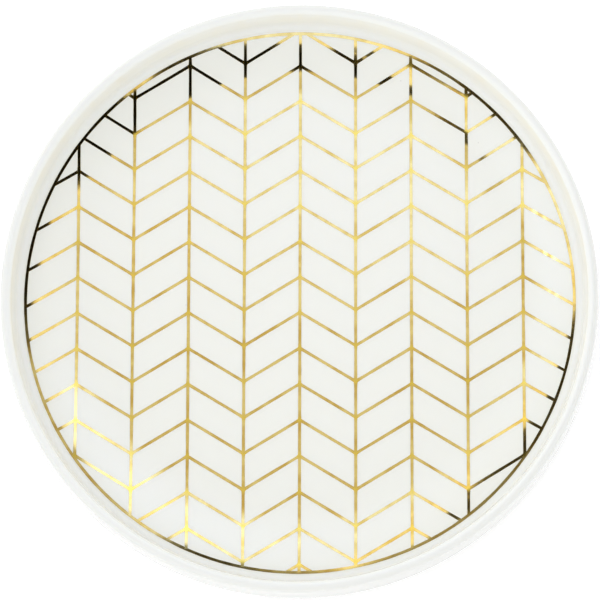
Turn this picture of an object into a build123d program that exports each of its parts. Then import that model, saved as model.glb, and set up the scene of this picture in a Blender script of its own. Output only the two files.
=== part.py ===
from build123d import *
from math import ceil, cos, radians, sin
import os

os.makedirs("parts", exist_ok=True)

# Round porcelain ring dish with an overglaze gold herringbone. Millimetres, +Z up.
# The origin is the middle of the resting plane, under the foot ring.

# Overall size of the fired and glazed dish
outer_diameter = 108.0
dish_height = 12.0

# Floor and foot ring
floor_thickness = 3.6
foot_diameter = 96.0
foot_height = 1.6
foot_width = 2.4
foot_bevel = 0.4

# Wall, lip and heel
lip_thickness = 1.9
lip_rounding = 0.7
wall_lean = 0.3
inner_wall_angle = 87.0
cove_radius = 1.5
cove_flats = 4
heel_height = 4.6
heel_set_in = 2.4
heel_bevel = 0.9

# Gold lines, all of one width and one film thickness; the border stops just short of the cove
gold_thickness = 0.1
line_width = 0.5
border_margin = 0.15

# Herringbone, with the small offset at which its transfer lies on this dish
column_pitch = 10.08
row_pitch = 6.56
chevron_drop = 6.12
pattern_shift_x = 0.05
pattern_shift_y = -2.18

# Radii and heights worked out from those sizes
outer_radius = outer_diameter / 2
lip_outer_radius = outer_radius - wall_lean
lip_inner_radius = lip_outer_radius - lip_thickness
floor_top = foot_height + floor_thickness
foot_outer_radius = foot_diameter / 2
foot_inner_radius = foot_outer_radius - foot_width

# Cove: the round between floor and inner wall, in even flats, whose last point is on the wall
cove_turns = [radians(inner_wall_angle * flat / cove_flats) for flat in range(cove_flats + 1)]
wall_rise = dish_height - floor_top - cove_radius * (1 - cos(cove_turns[-1]))
cove_end_radius = lip_inner_radius - wall_rise * cos(cove_turns[-1]) / sin(cove_turns[-1])
cove_start_radius = cove_end_radius - cove_radius * sin(cove_turns[-1])
cove_points = [
    (cove_start_radius + cove_radius * sin(turn), floor_top + cove_radius * (1 - cos(turn)))
    for turn in cove_turns
]

# Dish: one fired casting, turned from its section
with BuildPart() as porcelain_body:
    with BuildSketch(Plane.XZ) as dish_section:
        with BuildLine():
            cove_line = Polyline(*cove_points)
            lip_line = Line((lip_inner_radius, dish_height), (lip_outer_radius, dish_height))
            heel_line = Line((outer_radius, heel_height), (outer_radius - heel_set_in, foot_height))
            Line(cove_line @ 1, lip_line @ 0)
            Line(lip_line @ 1, heel_line @ 0)
            Polyline(
                heel_line @ 1,
                (foot_outer_radius, foot_height),
                (foot_outer_radius, 0),
                (foot_inner_radius, 0),
                (foot_inner_radius, foot_height),
                (0, foot_height),
                (0, floor_top),
                cove_line @ 0,
            )
        make_face()
        fillet(dish_section.vertices().group_by(Axis.Y)[-1], lip_rounding)
        chamfer(dish_section.vertices().sort_by_distance(heel_line @ 1)[0], heel_bevel)
        chamfer(dish_section.vertices().group_by(Axis.Y)[0], foot_bevel)
    revolve(axis=Axis.Z)
porcelain_body.part.label = "porcelain_body"
export_step(porcelain_body.part, "parts/porcelain_body.step")

# Border: the gold ring round the edge of the floor
border_radius = cove_start_radius - border_margin
field_radius = border_radius - line_width
with BuildPart() as gold_border_ring:
    with BuildSketch(Plane.XY.offset(floor_top)):
        Circle(border_radius)
        Circle(field_radius, mode=Mode.SUBTRACT)
    extrude(amount=gold_thickness)
gold_border_ring.part.label = "gold_border_ring"
export_step(gold_border_ring.part, "parts/gold_border_ring.step")

# Columns: straight lines from border to border, one on each pitch
columns_each_side = int(field_radius / column_pitch)
column_numbers = range(-columns_each_side, columns_each_side + 1)
with BuildPart() as gold_column_lines:
    with BuildSketch(Plane.XY.offset(floor_top)):
        with Locations([(pattern_shift_x + column * column_pitch, 0) for column in column_numbers]):
            Rectangle(line_width, 2 * field_radius)
        Circle(field_radius, mode=Mode.INTERSECT)
    extrude(amount=gold_thickness)
gold_column_lines.part.label = "gold_column_lines"
export_step(gold_column_lines.part, "parts/gold_column_lines.step")

# Chevrons: slanted bars that fill each bay between two columns, peaks on the even columns
rows_each_way = ceil((border_radius + chevron_drop) / row_pitch)
row_numbers = range(-rows_each_way, rows_each_way + 1)
bar_run = column_pitch - line_width
bar_fall = chevron_drop * bar_run / column_pitch
bar_depth = line_width * (column_pitch**2 + chevron_drop**2) ** 0.5 / column_pitch
with BuildPart() as gold_chevron_lines:
    with BuildSketch(Plane.XY.offset(floor_top)):
        for bay in range(-columns_each_side - 1, columns_each_side + 1):
            bay_left = pattern_shift_x + bay * column_pitch + line_width / 2
            slope = -1 if bay % 2 == 0 else 1
            left_end = pattern_shift_y - (chevron_drop + slope * bar_fall + bar_depth) / 2
            with Locations([(bay_left, left_end + row * row_pitch) for row in row_numbers]):
                Polygon(
                    (0, 0),
                    (bar_run, slope * bar_fall),
                    (bar_run, slope * bar_fall + bar_depth),
                    (0, bar_depth),
                    align=None,
                )
        Circle(field_radius, mode=Mode.INTERSECT)
    extrude(amount=gold_thickness)
gold_chevron_lines.part.label = "gold_chevron_lines"
export_step(gold_chevron_lines.part, "parts/gold_chevron_lines.step")
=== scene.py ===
import math

import bpy
from mathutils import Matrix, Vector, noise


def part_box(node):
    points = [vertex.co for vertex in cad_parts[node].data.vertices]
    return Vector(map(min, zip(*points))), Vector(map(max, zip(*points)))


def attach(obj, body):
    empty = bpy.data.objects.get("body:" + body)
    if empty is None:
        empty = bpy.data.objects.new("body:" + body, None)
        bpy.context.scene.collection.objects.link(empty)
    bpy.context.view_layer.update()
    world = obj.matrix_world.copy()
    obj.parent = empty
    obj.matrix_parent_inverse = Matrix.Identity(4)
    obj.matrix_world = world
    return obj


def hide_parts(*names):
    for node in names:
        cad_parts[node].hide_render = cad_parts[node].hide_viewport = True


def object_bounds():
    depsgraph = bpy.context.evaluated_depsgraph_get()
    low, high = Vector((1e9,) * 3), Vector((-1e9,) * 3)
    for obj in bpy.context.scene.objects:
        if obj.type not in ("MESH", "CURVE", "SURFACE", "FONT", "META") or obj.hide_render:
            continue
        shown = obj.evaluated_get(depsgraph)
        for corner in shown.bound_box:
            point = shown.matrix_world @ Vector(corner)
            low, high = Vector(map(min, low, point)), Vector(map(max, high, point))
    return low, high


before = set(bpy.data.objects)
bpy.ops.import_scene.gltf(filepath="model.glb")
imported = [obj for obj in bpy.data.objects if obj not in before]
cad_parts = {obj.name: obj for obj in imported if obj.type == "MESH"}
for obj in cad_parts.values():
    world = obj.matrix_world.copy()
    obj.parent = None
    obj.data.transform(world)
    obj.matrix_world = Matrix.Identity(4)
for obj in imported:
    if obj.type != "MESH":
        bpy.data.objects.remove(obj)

cadLow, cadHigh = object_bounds()
mm = 0.001
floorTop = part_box("gold_border_ring")[0].z / mm  # height of the glazed floor over the table
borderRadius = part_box("gold_border_ring")[1].x / mm
print("frame loaded, floor at", round(floorTop, 2), "mm")


# Colours, nodes and meshes

def linearColor(hexText):
    channels = [int(hexText[i:i + 2], 16) / 255 for i in (1, 3, 5)]
    return [c / 12.92 if c <= 0.04045 else ((c + 0.055) / 1.055) ** 2.4 for c in channels] + [1.0]


def addNode(tree, kind, values=None, links=None, **settings):
    node = tree.nodes.new(kind)
    for key, value in settings.items():
        setattr(node, key, value)
    for socket, value in (values or {}).items():
        node.inputs[socket].default_value = value
    for socket, source in (links or {}).items():
        tree.links.new(source, node.inputs[socket])
    return node


def newMaterial(name):
    material = bpy.data.materials.new(name)
    material.use_nodes = True
    material.node_tree.nodes.clear()
    return material, material.node_tree


def newPiece(name, points, faces, materials):
    mesh = bpy.data.meshes.new(name)
    mesh.from_pydata([Vector(p) * mm for p in points], [], faces)
    mesh.validate()
    mesh.shade_smooth()
    piece = bpy.data.objects.new(name, mesh)
    bpy.context.scene.collection.objects.link(piece)
    for material in materials:
        mesh.materials.append(material)
    return piece


# Glazed porcelain: cast white body under a clear fired glaze. It looks wet and smooth, a little
# cooler where the glaze pools, with a faint ripple and the odd pinhole. Its colour also holds
# painted shade: the pool tint sets the level of the cove and inner wall, and the thin tint
# darkens the lip and the outer wall.

porcelainLook = {
    "body": "#F7F7EE",
    "poolTintAndShade": "#F5F7F3",             # where the glaze gathers in the cove, a little cooler; painted shade too, its level set for the cove and inner wall
    "thinGlazeAndShade": "#EEEFEA",             # over the lip, where it runs thin and the body shows; darker as painted shade on the lip and outer wall
    "pinhole": "#C9C4BC",
    "poolAndShadeOver": (49.8, 50.8),     # mm from the middle, over which one tint runs into the next
    "thinAndShadeOver": (51.8, 53.2),
    "scatter": (2.4, 2.2, 1.9),    # mm that red, green and blue light get into the body
    "rippleSize": 9.0,             # mm between the soft swells of the glaze
    "rippleDepth": 0.012,
    "pinholeSpacing": 7.0,
    "pinholeReach": (0.012, 0.022),  # in spacings, where a pinhole is full and where it ends
    "pinholeDepth": 0.5,           # share of its own colour that it shows
}


def glazedPorcelain():
    look = porcelainLook
    material, tree = newMaterial("glazed porcelain")
    place = addNode(tree, "ShaderNodeTexCoord").outputs["Object"]
    parts = addNode(tree, "ShaderNodeSeparateXYZ", links={0: place})
    flat = addNode(tree, "ShaderNodeCombineXYZ",
                   links={"X": parts.outputs["X"], "Y": parts.outputs["Y"]})
    radius = addNode(tree, "ShaderNodeVectorMath", operation="LENGTH", links={0: flat.outputs[0]})
    pooledAndShaded, thinnedAndShaded = (
        addNode(tree, "ShaderNodeMapRange", interpolation_type="SMOOTHSTEP",
                values={"From Min": look[zone][0] * mm, "From Max": look[zone][1] * mm},
                links={"Value": radius.outputs["Value"]})
        for zone in ("poolAndShadeOver", "thinAndShadeOver"))
    # painted shade: the pool tint sets the level of the cove and inner wall, along with its cooler
    # tone
    poolTintAndShade = addNode(tree, "ShaderNodeMix", data_type="RGBA",
                   values={"A": linearColor(look["body"]), "B": linearColor(look["poolTintAndShade"])},
                   links={"Factor": pooledAndShaded.outputs[0]})
    # painted shade: the thin tint darkens the top of the inner wall, the lip and the outer wall
    glazeAndShade = addNode(tree, "ShaderNodeMix", data_type="RGBA",
                    values={"B": linearColor(look["thinGlazeAndShade"])},
                    links={"Factor": thinnedAndShaded.outputs[0], "A": poolTintAndShade.outputs["Result"]})
    cells = addNode(tree, "ShaderNodeTexVoronoi", feature="F1",
                    values={"Scale": 1 / (look["pinholeSpacing"] * mm)}, links={"Vector": place})
    full, edge = look["pinholeReach"]
    pinhole = addNode(tree, "ShaderNodeMapRange",
                      values={"From Min": full, "From Max": edge,
                              "To Min": look["pinholeDepth"], "To Max": 0.0},
                      links={"Value": cells.outputs["Distance"]})
    speckled = addNode(tree, "ShaderNodeMix", data_type="RGBA",
                       values={"B": linearColor(look["pinhole"])},
                       links={"Factor": pinhole.outputs[0], "A": glazeAndShade.outputs["Result"]})
    ripple = addNode(tree, "ShaderNodeTexNoise",
                     values={"Scale": 1 / (look["rippleSize"] * mm), "Detail": 1.5},
                     links={"Vector": place})
    bump = addNode(tree, "ShaderNodeBump",
                   values={"Strength": 1.0, "Distance": look["rippleDepth"] * mm},
                   links={"Height": ripple.outputs[0]})
    shader = addNode(tree, "ShaderNodeBsdfPrincipled",
                     values={"Roughness": 0.45, "IOR": 1.5, "Subsurface Weight": 0.2,
                             "Subsurface Radius": [depth * mm for depth in look["scatter"]],
                             "Subsurface Scale": 1.0,
                             "Coat Weight": 1.0, "Coat Roughness": 0.16, "Coat IOR": 1.5},
                     links={"Base Color": speckled.outputs["Result"], "Normal": bump.outputs[0],
                            "Coat Normal": bump.outputs[0]})
    addNode(tree, "ShaderNodeOutputMaterial", links={"Surface": shader.outputs[0]})
    return material


# Bare porcelain: the foot ring's face, wiped clean before firing. It is matt, dry and a touch
# creamier than the glaze, with a fine grain.

bareLook = {
    "dark": "#E3DDD2",
    "light": "#EFEBE3",
    "grainSize": 0.4,    # mm
    "grainDepth": 0.03,
}


def barePorcelain():
    look = bareLook
    material, tree = newMaterial("bare porcelain")
    place = addNode(tree, "ShaderNodeTexCoord").outputs["Object"]
    grain = addNode(tree, "ShaderNodeTexNoise",
                    values={"Scale": 1 / (look["grainSize"] * mm), "Detail": 4.0},
                    links={"Vector": place})
    color = addNode(tree, "ShaderNodeMix", data_type="RGBA",
                    values={"A": linearColor(look["dark"]), "B": linearColor(look["light"])},
                    links={"Factor": grain.outputs[0]})
    bump = addNode(tree, "ShaderNodeBump",
                   values={"Strength": 0.6, "Distance": look["grainDepth"] * mm},
                   links={"Height": grain.outputs[0]})
    shader = addNode(tree, "ShaderNodeBsdfPrincipled", values={"Roughness": 0.85},
                     links={"Base Color": color.outputs["Result"], "Normal": bump.outputs[0]})
    addNode(tree, "ShaderNodeOutputMaterial", links={"Surface": shader.outputs[0]})
    return material


# Burnished gold: bright gold fired over the glaze. A thin mirror film, so it goes from pale
# yellow to near black with what it faces, and is deeper in tone where two lines cross.

goldLook = {
    "film": "#FFE592",
    "worn": "#E6C266",           # where the film was fired thinner
    "thick": "#FEDD5E",          # where two lines cross
    "wornSize": 3.5,             # mm between the worn patches
    "wornBetween": (0.4, 0.65),  # levels of the noise over which the film turns to worn
    "waveSize": 2.6,             # mm, the glaze's own unevenness under the film
    "waveDepth": 0.004,
    "rubSize": 1.2,
    "roughness": (0.02, 0.08),   # burnished, with softer patches where it has been rubbed
}


def burnishedGold():
    look = goldLook
    material, tree = newMaterial("burnished gold")
    place = addNode(tree, "ShaderNodeTexCoord").outputs["Object"]
    patches = addNode(tree, "ShaderNodeTexNoise",
                      values={"Scale": 1 / (look["wornSize"] * mm), "Detail": 4.0},
                      links={"Vector": place})
    thinner = addNode(tree, "ShaderNodeMapRange",
                      values={"From Min": look["wornBetween"][0],
                              "From Max": look["wornBetween"][1]},
                      links={"Value": patches.outputs[0]})
    film = addNode(tree, "ShaderNodeMix", data_type="RGBA",
                   values={"A": linearColor(look["film"]), "B": linearColor(look["worn"])},
                   links={"Factor": thinner.outputs[0]})
    crossing = addNode(tree, "ShaderNodeAttribute", attribute_name="crossing")
    color = addNode(tree, "ShaderNodeMix", data_type="RGBA",
                    values={"B": linearColor(look["thick"])},
                    links={"Factor": crossing.outputs["Fac"], "A": film.outputs["Result"]})
    wave = addNode(tree, "ShaderNodeTexNoise",
                   values={"Scale": 1 / (look["waveSize"] * mm), "Detail": 3.0},
                   links={"Vector": place})
    bump = addNode(tree, "ShaderNodeBump",
                   values={"Strength": 1.0, "Distance": look["waveDepth"] * mm},
                   links={"Height": wave.outputs[0]})
    rub = addNode(tree, "ShaderNodeTexNoise",
                  values={"Scale": 1 / (look["rubSize"] * mm), "Detail": 3.0},
                  links={"Vector": place})
    roughness = addNode(tree, "ShaderNodeMapRange",
                        values={"To Min": look["roughness"][0], "To Max": look["roughness"][1]},
                        links={"Value": rub.outputs[0]})
    shader = addNode(tree, "ShaderNodeBsdfPrincipled", values={"Metallic": 1.0},
                     links={"Base Color": color.outputs["Result"],
                            "Roughness": roughness.outputs[0], "Normal": bump.outputs[0]})
    addNode(tree, "ShaderNodeOutputMaterial", links={"Surface": shader.outputs[0]})
    return material


# Dish: one turned section, from the middle of the floor over the lip to the middle underneath

dishSizes = {
    "radius": cadHigh.x / mm,
    "height": cadHigh.z / mm,
    "floorRings": (0.0, 10.0, 20.0, 30.0, 35.0),  # radii of the mesh's rings on the flat floor
    "sweepStart": 37.5,     # the floor is flat out to here
    "sweepRise": 1.19,      # and this much higher at the gold border
    "sweepSteps": 18,
    "coveMargin": 0.1,      # between the gold border and the cove
    "coveRadius": 1.75,     # the wall rises out of the floor in one soft curve
    "coveTurn": 82.0,       # how steep it gets before it runs straight up to the lip
    "coveSteps": 14,
    "lipRounding": 0.9,
    "lipSteps": 10,
    "lipEnd": 2,            # degrees from level, where the rounding meets the outer wall
    "wallLean": 0.3,
    "wallSteps": (0.75, 0.5, 0.25),  # shares of the way from the belly up to the lip
    "bellyHeight": 4.6,
    "heelReach": 2.9,
    "heelSteps": 10,
    "footHeight": 1.6,
    "footRadius": 48.0,
    "footWidth": 2.4,
    "footRounding": 0.4,
    "footSteps": 5,
    "footMargin": 0.6,      # flat underside between the heel and the foot ring
    "bareBelow": 0.65,      # the foot ring is bare up to here
    "underRings": (30.0, 15.0, 0.0),
    "ovality": 0.08,        # the fired wall is this much out of round
    "ovalAngle": 50.0,
    "ovalRun": 3.0,         # mm from the cove outwards, over which this comes in
    "turns": 360,
}


def floorHeight(radius):
    run = max(0.0, (radius - dishSizes["sweepStart"]) / (borderRadius - dishSizes["sweepStart"]))
    return floorTop + dishSizes["sweepRise"] * run * run


def arcPoints(middle, radius, first, last, steps):
    turns = [math.radians(first + (last - first) * step / steps) for step in range(steps + 1)]
    return [(middle[0] + radius * math.cos(a), middle[1] + radius * math.sin(a)) for a in turns]


def dishSection():
    s = dishSizes
    points = [(radius, floorTop) for radius in s["floorRings"]]
    edge = borderRadius + s["coveMargin"]
    for step in range(s["sweepSteps"] + 1):
        radius = s["sweepStart"] + (edge - s["sweepStart"]) * step / s["sweepSteps"]
        points.append((radius, floorHeight(radius)))
    slope = math.degrees(math.atan(2 * s["sweepRise"] / (borderRadius - s["sweepStart"])))
    middle = (edge - s["coveRadius"] * math.sin(math.radians(slope)),
              floorHeight(edge) + s["coveRadius"] * math.cos(math.radians(slope)))
    points += arcPoints(middle, s["coveRadius"], slope - 90, s["coveTurn"] - 90, s["coveSteps"])[1:]
    lip = s["lipRounding"]
    lipOuter = s["radius"] - s["wallLean"]
    shoulder = s["height"] - lip
    steep = math.radians(s["coveTurn"])
    run = (shoulder + lip * math.cos(steep) - points[-1][1]) / math.tan(steep)
    lipInner = points[-1][0] + run + lip * math.sin(steep)  # the middle of the inner rounding
    print("lip rounding middle at", round(lipInner, 2), "of", round(lipOuter, 2))
    points += arcPoints((lipInner, shoulder), lip, 90 + s["coveTurn"], 90, s["lipSteps"])
    points += arcPoints((lipOuter - lip, shoulder), lip, 90, s["lipEnd"], s["lipSteps"])
    for share in s["wallSteps"]:
        points.append((lipOuter + s["wallLean"] * (1 - share * share),
                       s["bellyHeight"] + (shoulder - s["bellyHeight"]) * share))
    heelRise = s["bellyHeight"] - s["footHeight"]
    for step in range(s["heelSteps"] + 1):
        a = math.radians(90 * step / s["heelSteps"])
        points.append((s["radius"] - s["heelReach"] * (1 - math.cos(a)),
                       s["bellyHeight"] - heelRise * math.sin(a)))
    footInner = s["footRadius"] - s["footWidth"]
    r = s["footRounding"]
    points.append((s["footRadius"] + s["footMargin"], s["footHeight"]))
    points += arcPoints((s["footRadius"] + r, s["footHeight"] - r), r, 90, 180, s["footSteps"])
    points += arcPoints((s["footRadius"] - r, r), r, 0, -90, s["footSteps"])
    points += arcPoints((footInner + r, r), r, -90, -180, s["footSteps"])
    points += arcPoints((footInner - r, s["footHeight"] - r), r, 0, 90, s["footSteps"])
    points += [(radius, s["footHeight"]) for radius in s["underRings"]]
    return points


def buildDish(materials):
    s = dishSizes
    section = dishSection()
    points, rings = [], []
    for radius, height in section:
        count = 1 if radius == 0 else s["turns"]
        wall = min(1.0, max(0.0, (radius - borderRadius - s["coveMargin"]) / s["ovalRun"]))
        ring = []
        for turn in range(count):
            a = 2 * math.pi * turn / count
            oval = s["ovality"] * wall * (math.cos(2 * (a - math.radians(s["ovalAngle"]))) - 1)
            ring.append(len(points))
            points.append(((radius + oval) * math.cos(a), (radius + oval) * math.sin(a), height))
        rings.append(ring)
    faces, bare = [], []
    heights = [height for _, height in section]
    for inner, outer, z0, z1 in zip(rings, rings[1:], heights, heights[1:]):
        for turn in range(s["turns"]):
            after = (turn + 1) % s["turns"]
            if len(inner) == 1:
                faces.append((inner[0], outer[turn], outer[after]))
            elif len(outer) == 1:
                faces.append((inner[turn], outer[0], inner[after]))
            else:
                faces.append((inner[turn], outer[turn], outer[after], inner[after]))
            bare.append(max(z0, z1) < s["bareBelow"])
    dish = newPiece("porcelainDish", points, faces, materials)
    for face, isBare in zip(dish.data.polygons, bare):
        face.material_index = 1 if isBare else 0
    return dish


# Gold: a film of even width laid on the floor, a little fuller where lines cross

goldSizes = {
    "width": 0.55,
    # the three sets differ in height, so that none shares a surface where they cross
    "filmHeights": {"border": 0.024, "columns": 0.032, "chevrons": 0.016},
    "edgeHeight": 0.002,
    "profile": (-0.5, -0.48, 0.0, 0.48, 0.5),  # shares of the width, with thin edges to the film
    "columnPitch": 10.08,
    "rowPitch": 6.56,
    "chevronDrop": 6.12,
    "shiftX": 0.05,
    "shiftY": -2.18,
    "step": 0.5,            # mm between the points along a line
    "crossingReach": 0.45,
    "crossingSwell": 0.22,
    "widthDrift": 0.12,
    "driftScale": 0.35,     # of the noise for each mm, read in the slice below
    "driftSlice": 3,
    "borderTurns": 720,
    "borderWobble": 0.07,
    "wobbleScale": 1.7,     # of the noise for each radius of the border
    "wobbleSet": 0.3,       # how far its mean lies towards the middle
    "middleReach": 41.0,    # lines inside this radius lie on the even floor
    "sharpFrom": 25,        # degrees, so that the film is flat right to its edges
}


def columnDrop(column):
    return goldSizes["chevronDrop"] if column % 2 else 0.0


def crossingNear(x, y):
    g = goldSizes
    column = round((x - g["shiftX"]) / g["columnPitch"])
    drop = columnDrop(column)
    row = round((y - g["shiftY"] + drop) / g["rowPitch"])
    distance = math.hypot(x - g["shiftX"] - column * g["columnPitch"],
                          y - g["shiftY"] + drop - row * g["rowPitch"])
    return math.exp(-(distance / g["crossingReach"]) ** 2)


def laidLine(path, points, faces, crossings, height, closed):
    g = goldSizes
    first = len(points)
    for i, (x, y) in enumerate(path):
        ahead = path[(i + 1) % len(path)] if closed else path[min(i + 1, len(path) - 1)]
        behind = path[i - 1] if closed else path[max(i - 1, 0)]
        along = Vector((ahead[0] - behind[0], ahead[1] - behind[1], 0)).normalized()
        side = Vector((-along.y, along.x, 0))
        meeting = 0.0 if closed else crossingNear(x, y)
        spot = Vector((x, y, g["driftSlice"])) * g["driftScale"]
        drift = 1 + g["widthDrift"] * noise.noise(spot)
        width = g["width"] * drift * (1 + g["crossingSwell"] * meeting)
        for share in g["profile"]:
            px, py = x + side.x * width * share, y + side.y * width * share
            lift = g["edgeHeight"] if abs(share) == g["profile"][-1] else height
            points.append((px, py, floorHeight(math.hypot(px, py)) + lift))
            crossings.append(meeting)
    count = len(g["profile"])
    for i in range(len(path) if closed else len(path) - 1):
        a, b = first + i * count, first + ((i + 1) % len(path)) * count
        faces += [(a + k, b + k, b + k + 1, a + k + 1) for k in range(count - 1)]


def straightPath(start, end):
    steps = max(2, round(math.dist(start, end) / goldSizes["step"]))
    return [(start[0] + (end[0] - start[0]) * i / steps, start[1] + (end[1] - start[1]) * i / steps)
            for i in range(steps + 1)]


# The faces inside or outside the radius of the even floor, with only the points that they use

def someFaces(points, faces, crossings, inMiddle):
    reach = goldSizes["middleReach"]
    kept = [face for face in faces if (math.hypot(*points[face[0]][:2]) < reach) == inMiddle]
    used = sorted({i for face in kept for i in face})
    place = {i: k for k, i in enumerate(used)}
    keptFaces = [[place[i] for i in face] for face in kept]
    return [points[i] for i in used], keptFaces, [crossings[i] for i in used]


def goldPiece(name, node, points, faces, crossings, material):
    piece = newPiece(name, points, faces, [material])
    piece.data.set_sharp_from_angle(angle=math.radians(goldSizes["sharpFrom"]))
    attribute = piece.data.attributes.new("crossing", "FLOAT", "POINT")
    attribute.data.foreach_set("value", crossings)
    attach(piece, "root")
    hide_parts(node)
    print(name, len(faces), "faces")
    return piece


def borderLine():
    g = goldSizes
    middle = borderRadius - g["width"] / 2
    path = []
    for turn in range(g["borderTurns"]):
        a = 2 * math.pi * turn / g["borderTurns"]
        sway = noise.noise(Vector((math.cos(a), math.sin(a), 0)) * g["wobbleScale"])
        wobble = g["borderWobble"] * (sway - g["wobbleSet"])
        path.append(((middle + wobble) * math.cos(a), (middle + wobble) * math.sin(a)))
    return path


# The part of a slanted bar that lies inside the border ring

def insideBorder(start, end):
    edge = borderRadius - goldSizes["width"] / 2
    start, end = Vector(start), Vector(end)
    run = end - start
    half = start.dot(run) / run.length_squared
    room = half ** 2 - (start.length_squared - edge ** 2) / run.length_squared
    if room <= 0:
        return []
    first, last = max(0.0, -half - math.sqrt(room)), min(1.0, -half + math.sqrt(room))
    if (last - first) * run.length < goldSizes["width"]:
        return []
    return straightPath(start + run * first, start + run * last)


def columnPaths():
    g = goldSizes
    edge = borderRadius - g["width"] / 2
    columns = int(edge / g["columnPitch"])
    for column in range(-columns, columns + 1):
        x = g["shiftX"] + column * g["columnPitch"]
        reach = math.sqrt(edge ** 2 - x ** 2)
        yield straightPath((x, -reach), (x, reach))


def chevronPaths():
    g = goldSizes
    columns = int(borderRadius / g["columnPitch"]) + 1
    rows = math.ceil((borderRadius + g["chevronDrop"]) / g["rowPitch"])
    for column in range(-columns, columns):
        for row in range(-rows, rows + 1):
            ends = [(g["shiftX"] + c * g["columnPitch"],
                     g["shiftY"] + row * g["rowPitch"] - columnDrop(c))
                    for c in (column, column + 1)]
            path = insideBorder(*ends)
            if path:
                yield path


goldMaterial = burnishedGold()
dish = buildDish([glazedPorcelain(), barePorcelain()])
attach(dish, "root")
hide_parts("porcelain_body")
print("dish turned,", len(dish.data.polygons), "faces")

middleGold = bpy.data.collections.new("gold on the even floor")
for name, node, paths, lines in (
    ("goldBorder", "gold_border_ring", [borderLine()], "border"),
    ("goldColumns", "gold_column_lines", columnPaths(), "columns"),
    ("goldChevrons", "gold_chevron_lines", chevronPaths(), "chevrons"),
):
    points, faces, crossings = [], [], []
    for path in paths:
        height = goldSizes["filmHeights"][lines]
        laidLine(path, points, faces, crossings, height, closed=lines == "border")
    if lines == "border":
        goldPiece(name, node, points, faces, crossings, goldMaterial)
    else:
        goldPiece(name + "Ends", node, *someFaces(points, faces, crossings, False), goldMaterial)
        middle = goldPiece(name, node, *someFaces(points, faces, crossings, True), goldMaterial)
        middleGold.objects.link(middle)


# White table: matt paper, seen as plain white with a soft shadow. The camera and mirror images
# see it near white, and the light that it throws on the dish is a little less.

tableLook = {
    "paper": "#F2F2F2",
    "paperGlow": 0.35,
    "underLight": "#D6D6D6",  # lights the dish from below, a little less than the paper would
    "halfWidth": 900,         # mm
}


def whiteTable():
    look = tableLook
    material, tree = newMaterial("white table")
    seen = addNode(tree, "ShaderNodeLightPath")
    plain = addNode(tree, "ShaderNodeBsdfDiffuse",
                    values={"Color": linearColor(look["underLight"])})
    paper = addNode(tree, "ShaderNodeBsdfDiffuse", values={"Color": linearColor(look["paper"])})
    glow = addNode(tree, "ShaderNodeEmission",
                   values={"Color": (1, 1, 1, 1), "Strength": look["paperGlow"]})
    lit = addNode(tree, "ShaderNodeAddShader", links={0: paper.outputs[0], 1: glow.outputs[0]})
    mirrored = addNode(tree, "ShaderNodeMath", operation="MAXIMUM",
                       links={0: seen.outputs["Is Glossy Ray"],
                              1: seen.outputs["Is Transmission Ray"]})
    shown = addNode(tree, "ShaderNodeMath", operation="MAXIMUM",
                    links={0: seen.outputs["Is Camera Ray"], 1: mirrored.outputs[0]})
    mixed = addNode(tree, "ShaderNodeMixShader",
                    links={0: shown.outputs[0], 1: plain.outputs[0], 2: lit.outputs[0]})
    addNode(tree, "ShaderNodeOutputMaterial", links={"Surface": mixed.outputs[0]})
    return material


reach = tableLook["halfWidth"]
corners = [(-reach, -reach, 0), (reach, -reach, 0), (reach, reach, 0), (-reach, reach, 0)]
table = newPiece("table", corners, [(0, 1, 2, 3)], [whiteTable()])


# Studio: soft light all round with a white backdrop, and cards overhead for the gold to mirror

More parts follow.
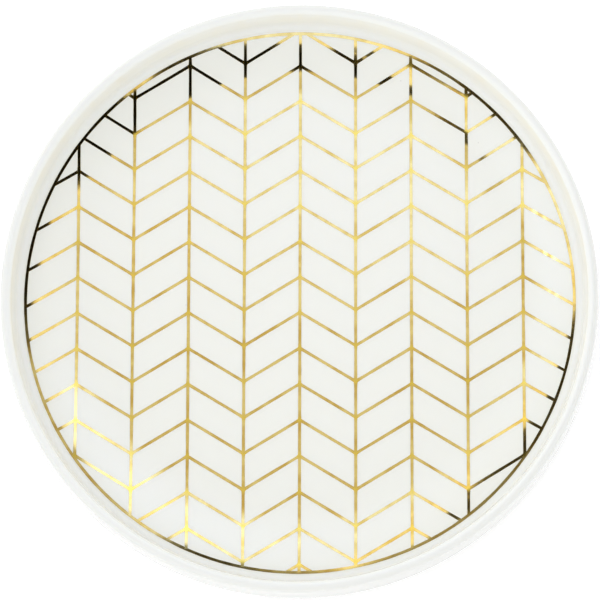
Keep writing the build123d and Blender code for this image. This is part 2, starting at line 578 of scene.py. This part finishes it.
studioLook = {
    # heights are sines of the angle over the table
    "overhead": 1.0,              # level straight up
    "horizon": 1.55,              # level low down all round, as in a white studio
    "horizonTop": 0.5,            # height at which that has faded out
    "backdropTop": (0.6, 0.45),   # up to where the backdrop is mirrored at all, and in full
    "cardsFrom": 0.05,            # height below which no direction meets a card
    "lighterSide": (-0.9, 0.3, 0),
    "sideLight": 0.15,            # how much lighter the studio is on that side
    "daylight": "#CEDAFF",
    "neutral": "#FFFFFF",
    # Cards over the dish, a later one in front of an earlier one. Each has its middle and half its
    # size in degrees to the right and to the back from straight overhead, then its turn in
    # degrees, how soft its edge is and its level. A level over 1 is daylight, the rest is neutral.
    "cards": {
        "dim screen, middle": ((-1.7, 10), (7, 4.5), 0, 0.6, 0.66),
        "dim screen, behind": ((-1.2, 14.4), (5.5, 2.8), 0, 0.6, 0.8),
        "daylight screen, just behind": ((-0.4, 14.6), (3.2, 2.6), 0, 0.5, 1.5),
        "daylight screen, left": ((-13, 6.5), (6.5, 4.5), 0, 0.25, 1.6),
        "daylight screen, left behind": ((-11.5, 13), (5, 2), 0, 0.4, 1.5),
        "daylight screen, behind": ((3, 20.3), (8.2, 7.8), 0, 0.2, 1.6),
        "daylight screen, its bright part": ((4.6, 19.5), (5.5, 5), 0, 0.4, 2.3),
        "daylight screen, front": ((-0.5, -6.5), (6.2, 2.6), 0, 0.3, 1.5),
        "light strip, one": ((-11.3, 9), (0.5, 1.9), 0, 0.5, 4.5),
        "light strip, two": ((-13.5, 9.5), (0.5, 1.9), 0, 0.5, 4.5),
        "black flag, middle": ((4.6, 1.4), (9.7, 5.2), 3, 0.03, 0.005),
        "black flag, left of the middle": ((-3.4, 4.2), (2.7, 1.8), 0, 0.04, 0.005),
        "black flag, front left": ((-5.2, -1.9), (0.9, 1.3), 0, 0.2, 0.03),
        "black flag, front right": ((4.3, -2.8), (3.6, 2.3), 0, 0.1, 0.01),
        "small reflector, front right": ((8.5, -2.6), (1.1, 0.6), 40, 0.3, 1.0),
        "black flag, right": ((20.2, 6.5), (8.9, 8.9), 0, 0.04, 0.01),
        "black flag, right behind": ((15.7, 14.6), (1.5, 2.3), 0, 0.3, 0.06),
        "grey flag, right behind": ((12.3, 20.5), (7.0, 1.5), -60, 0.3, 0.5),
        "black flag, left": ((-17.1, 17.7), (5.8, 2.4), 58, 0.15, 0.03),
        "black flag, left, its step": ((-14.4, 19.5), (2.7, 0.9), -50, 0.15, 0.03),
        "black flag, left, its end": ((-12.6, 21.0), (3.6, 1.1), -12, 0.2, 0.03),
        "black flag, left behind": ((-11.0, 23.6), (2.6, 1.4), -55, 0.3, 0.04),
        "black flag, far left": ((-12.8, -0.8), (5.4, 1.5), -33, 0.2, 0.03),
        "grey flag, front left": ((-9, -2.2), (2.6, 1.5), -20, 0.4, 0.12),
        "black flag, small": ((-5.5, 7.4), (1.5, 0.8), 56, 0.1, 0.005),
        "grey flag, left behind": ((-10.8, 26.8), (7.5, 1.3), 31, 0.4, 0.33),
        "grey flag, left behind, its end": ((-15.2, 23.3), (3.0, 1.0), 47, 0.4, 0.2),
        "grey flag, far behind": ((-1.5, 29.6), (3.5, 1.8), 0, 0.3, 0.3),
        "black flag, far behind": ((4.6, 29.2), (4.9, 3.1), -12, 0.3, 0.05),
    },
}


# Where a card lies on a plane one unit overhead, and half its size there, along one direction

def cardSpan(middle, half):
    near, far = (math.tan(math.radians(middle + sign * half)) for sign in (-1, 1))
    return (near + far) / 2, (far - near) / 2


# A soft light straight over the dish, for the gold on the even floor alone. Seen from above this
# gold then stays gold, while the ends on the sweep still mirror the black flags.

softboxLook = {
    "middle": (3.9, 0.2),   # degrees, as for a card
    "half": (10.8, 6.2),
    "height": 2.0,          # metres over the table
    "watts": 0.62,
}


def hangSoftbox():
    s = softboxLook
    (right, width), (back, depth) = map(cardSpan, s["middle"], s["half"])
    light = bpy.data.lights.new("softbox", "AREA")
    light.shape = "ELLIPSE"
    light.size = 2 * width * s["height"]
    light.size_y = 2 * depth * s["height"]
    light.energy = s["watts"]
    lamp = bpy.data.objects.new("softbox", light)
    bpy.context.scene.collection.objects.link(lamp)
    lamp.location = (right * s["height"], back * s["height"], s["height"])
    lamp.visible_camera = False
    lamp.light_linking.receiver_collection = middleGold


def buildStudio():
    look = studioLook
    world = bpy.data.worlds.new("studio")
    bpy.context.scene.world = world
    world.use_nodes = True
    tree = world.node_tree
    tree.nodes.clear()
    seen = addNode(tree, "ShaderNodeLightPath")
    direction = addNode(tree, "ShaderNodeTexCoord").outputs["Generated"]
    height = addNode(tree, "ShaderNodeSeparateXYZ", links={0: direction}).outputs["Z"]
    level = addNode(tree, "ShaderNodeMapRange", interpolation_type="SMOOTHSTEP",
                    values={"From Min": 0.0, "From Max": look["horizonTop"],
                            "To Min": look["horizon"], "To Max": look["overhead"]},
                    links={"Value": height})
    side = addNode(tree, "ShaderNodeVectorMath", operation="DOT_PRODUCT",
                   values={1: Vector(look["lighterSide"]) * look["sideLight"]},
                   links={0: direction})
    level = addNode(tree, "ShaderNodeMath", operation="ADD",
                    links={0: level.outputs[0], 1: side.outputs["Value"]}).outputs[0]
    light = addNode(tree, "ShaderNodeCombineXYZ",
                    links={"X": level, "Y": level, "Z": level}).outputs[0]
    above = addNode(tree, "ShaderNodeMath", operation="MAXIMUM", values={1: look["cardsFrom"]},
                    links={0: height})
    overhead = addNode(tree, "ShaderNodeVectorMath", operation="DIVIDE",
                       links={0: direction, 1: above.outputs[0]}).outputs[0]
    for name, (middle, half, turn, soft, strength) in look["cards"].items():
        (right, width), (back, depth) = map(cardSpan, middle, half)
        spread = addNode(tree, "ShaderNodeMapping", vector_type="TEXTURE", label=name,
                         values={"Location": (right, back, 1), "Scale": (width, depth, 1),
                                 "Rotation": (0, 0, math.radians(turn))},
                         links={"Vector": overhead})
        reach = addNode(tree, "ShaderNodeVectorMath", operation="LENGTH",
                        links={0: spread.outputs[0]})
        inside = addNode(tree, "ShaderNodeMapRange", interpolation_type="SMOOTHSTEP",
                         values={"From Min": 1 + soft, "From Max": 1 - soft},
                         links={"Value": reach.outputs["Value"]})
        tint = linearColor(look["daylight"] if strength > 1 else look["neutral"])
        light = addNode(tree, "ShaderNodeMix", data_type="RGBA",
                        values={"B": [channel * strength for channel in tint]},
                        links={"Factor": inside.outputs[0], "A": light}).outputs["Result"]
    room = addNode(tree, "ShaderNodeBackground", links={"Color": light})
    backdrop = addNode(tree, "ShaderNodeBackground",
                       values={"Color": (1, 1, 1, 1), "Strength": 1.0})
    top, full = look["backdropTop"]
    low = addNode(tree, "ShaderNodeMapRange", interpolation_type="SMOOTHSTEP",
                  values={"From Min": top, "From Max": full}, links={"Value": height})
    mirrored = addNode(tree, "ShaderNodeMath", operation="MAXIMUM",
                       links={0: seen.outputs["Is Glossy Ray"],
                              1: seen.outputs["Is Transmission Ray"]})
    mirroredLow = addNode(tree, "ShaderNodeMath", operation="MULTIPLY",
                          links={0: mirrored.outputs[0], 1: low.outputs[0]})
    shown = addNode(tree, "ShaderNodeMath", operation="MAXIMUM",
                    links={0: seen.outputs["Is Camera Ray"], 1: mirroredLow.outputs[0]})
    mixed = addNode(tree, "ShaderNodeMixShader",
                    links={0: shown.outputs[0], 1: room.outputs[0], 2: backdrop.outputs[0]})
    addNode(tree, "ShaderNodeOutputWorld", links={"Surface": mixed.outputs[0]})


buildStudio()
hangSoftbox()
bpy.context.scene.view_settings.view_transform = "Standard"
print("studio lit,", len(studioLook["cards"]), "cards overhead")


# Camera: nearly overhead, leaning to the front and a little to the right, from far off

cameraView = {
    "lens": 222.06,     # mm, as the distances
    "distance": 669.3,  # from the middle of the floor
    "tilt": 11.46,      # degrees from straight down, as the other angles
    "turn": 8.51,
    "roll": 0.15,
    "aimRight": 0.064,
    "aimUp": 0.099,
}


def placeCamera():
    v = cameraView
    tilt, turn, roll = (math.radians(v[key]) for key in ("tilt", "turn", "roll"))
    back = Vector((math.sin(tilt) * math.sin(turn), -math.sin(tilt) * math.cos(turn),
                   math.cos(tilt)))
    level = Vector((0, 1, 0)).cross(back).normalized()
    upright = back.cross(level)
    right = level * math.cos(roll) + upright * math.sin(roll)
    up = back.cross(right)
    lens = bpy.data.cameras.new("camera")
    lens.lens = v["lens"]
    camera = bpy.data.objects.new("camera", lens)
    bpy.context.scene.collection.objects.link(camera)
    spot = back * v["distance"] + right * v["aimRight"] + up * v["aimUp"]
    spot = (spot + Vector((0, 0, floorTop))) * mm
    facing = Matrix((right, up, back)).transposed().to_4x4()
    camera.matrix_world = Matrix.Translation(spot) @ facing
    bpy.context.scene.camera = camera


placeCamera()
print("camera placed")
